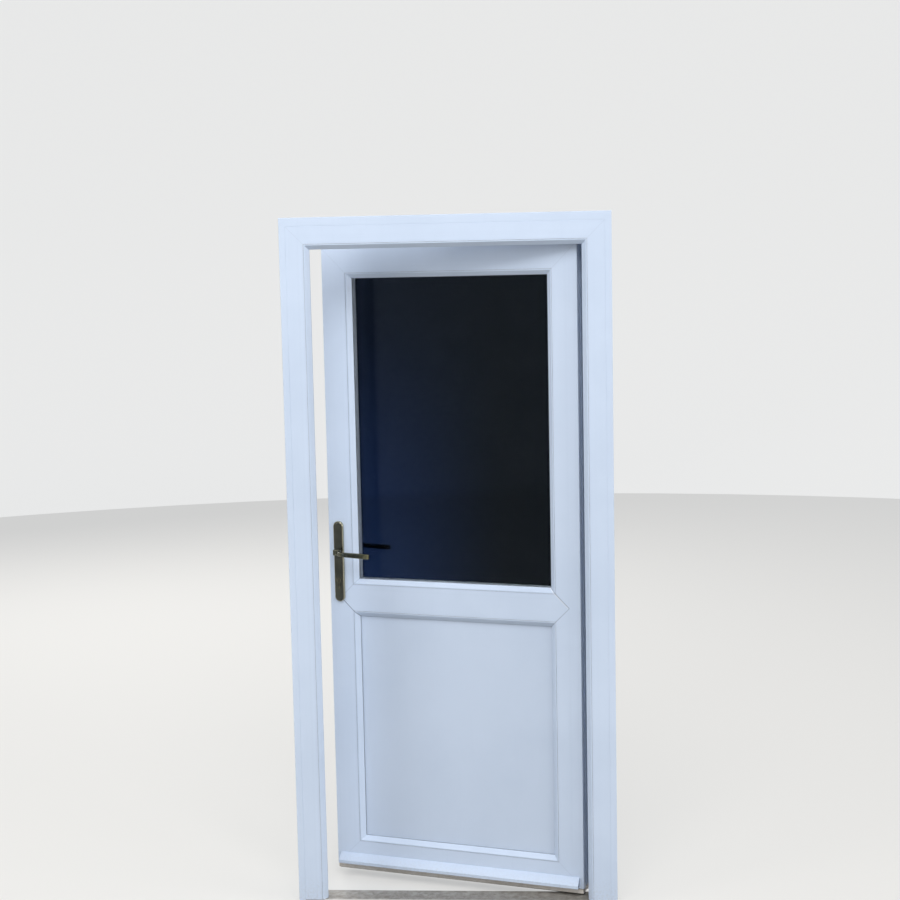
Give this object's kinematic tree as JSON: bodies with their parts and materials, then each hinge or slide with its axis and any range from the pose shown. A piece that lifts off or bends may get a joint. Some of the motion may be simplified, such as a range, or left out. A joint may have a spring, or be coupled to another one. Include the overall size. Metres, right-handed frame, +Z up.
{
  "type": "half glazed inward opening door with its outer frame",
  "caption": "Plastic-profile back door: outer frame with low threshold and one inward leaf, glass above a mid rail and a flat panel below, lever handles, multipoint lock.",
  "frame": {"origin": "middle of the threshold's underside, in the middle of the outer frame's width and depth", "axes": "+X to the right seen from outside, +Y inwards through the doorway, +Z up"},
  "size_m": [0.905, 0.344, 1.946],
  "materials": {
    "white_pvc": "white plastic profile, slightly glossy, weathered",
    "zinc_steel": "zinc plated steel",
    "white_coated_steel": "white coated steel",
    "black_rubber": "black seal",
    "grey_rubber": "grey glazing seal",
    "unit_sealant": "dark edge sealant of the glass unit",
    "clear_glass": "clear float glass",
    "spacer_aluminium": "dull aluminium spacer",
    "mill_aluminium": "worn aluminium",
    "packer_plastic": "coloured packer",
    "bush_nylon": "nylon bush",
    "cap_plastic": "white cap",
    "dark_brass": "dark tarnished brass with a dull sheen",
    "dull_brass": "dull brass"
  },
  "bodies": {
    "frame": {"outer_frame": "white_pvc", "left_frame_strip": "white_pvc", "right_frame_strip": "white_pvc", "head_frame_strip": "white_pvc", "frame_steels": "zinc_steel", "frame_seal": "black_rubber", "threshold": "mill_aluminium", "threshold_screws": "zinc_steel", "centre_keep": "zinc_steel", "pin_keeps": "zinc_steel", "keep_screws": "zinc_steel", "bracket_screws": "zinc_steel", "hinge_pins": "zinc_steel", "lower_hinge_bracket": "white_coated_steel", "middle_hinge_bracket": "white_coated_steel", "upper_hinge_bracket": "white_coated_steel"},
    "leaf": {"leaf_frame": "white_pvc", "stile_steels": "zinc_steel", "rail_steels": "zinc_steel", "leaf_seal": "black_rubber", "foot_strip": "white_pvc", "sweep_seals": "black_rubber", "weather_bar": "white_pvc", "outer_pane": "clear_glass", "inner_pane": "clear_glass", "spacer_bar": "spacer_aluminium", "unit_sealant": "unit_sealant", "infill_panel": "white_pvc", "glass_seal": "grey_rubber", "panel_seal": "grey_rubber", "glass_beads": "white_pvc", "panel_beads": "white_pvc", "glazing_packers": "packer_plastic", "flag_screws": "zinc_steel", "hinge_bushes": "bush_nylon", "hinge_caps": "cap_plastic", "lock_faceplate": "zinc_steel", "lock_case": "zinc_steel", "faceplate_screws": "zinc_steel", "cylinder_body": "dull_brass", "outside_backplate": "dark_brass", "inside_backplate": "dark_brass", "handle_screws": "dark_brass", "lower_hinge_flag": "white_coated_steel", "middle_hinge_flag": "white_coated_steel", "upper_hinge_flag": "white_coated_steel"},
    "handles": {"outside_lever": "dark_brass", "inside_lever": "dark_brass", "spindle": "zinc_steel", "follower": "zinc_steel"},
    "drive_rails": {"lower_drive_rail": "zinc_steel", "upper_drive_rail": "zinc_steel", "locking_pins": "zinc_steel"},
    "latch": {"latch_bolt": "zinc_steel"},
    "bolt": {"deadbolt": "zinc_steel"},
    "key_barrel": {"outside_plug": "dull_brass", "inside_plug": "dull_brass", "cam": "zinc_steel"}
  },
  "joints": [
    {"name": "leaf_swing", "type": "hinge", "parent": "frame", "child": "leaf", "pos_m": [0.4075, 0.073, 0], "axis": [0, 0, -1], "range_deg": [-15.5, 94.5]},
    {"name": "handle_turn", "type": "hinge", "parent": "leaf", "child": "handles", "pos_m": [-0.3326, 0.22947, 0.984], "axis": [0.2672, 0.9636, 0], "range_deg": [-40, 40], "stiffness_Nm_per_rad": 3, "springref_deg": -4.58},
    {"name": "rail_slide", "type": "slide", "parent": "leaf", "child": "drive_rails", "axis": [0, 0, 1], "range_m": [-0.015, 0.015]},
    {"name": "latch_slide", "type": "slide", "parent": "leaf", "child": "latch", "axis": [0.9636, -0.2672, 0], "range_m": [0, 0.011], "stiffness_N_per_m": 400, "springref_m": -0.01},
    {"name": "deadbolt_slide", "type": "slide", "parent": "leaf", "child": "bolt", "axis": [-0.9636, 0.2672, 0], "range_m": [0, 0.018]},
    {"name": "key_turn", "type": "hinge", "parent": "leaf", "child": "key_barrel", "pos_m": [-0.3326, 0.22947, 0.899], "axis": [0.2672, 0.9636, 0], "continuous": true}
  ],
  "couplings": [
    {"joint": "rail_slide", "follows": "handle_turn", "m_per_rad": -0.02148}
  ]
}
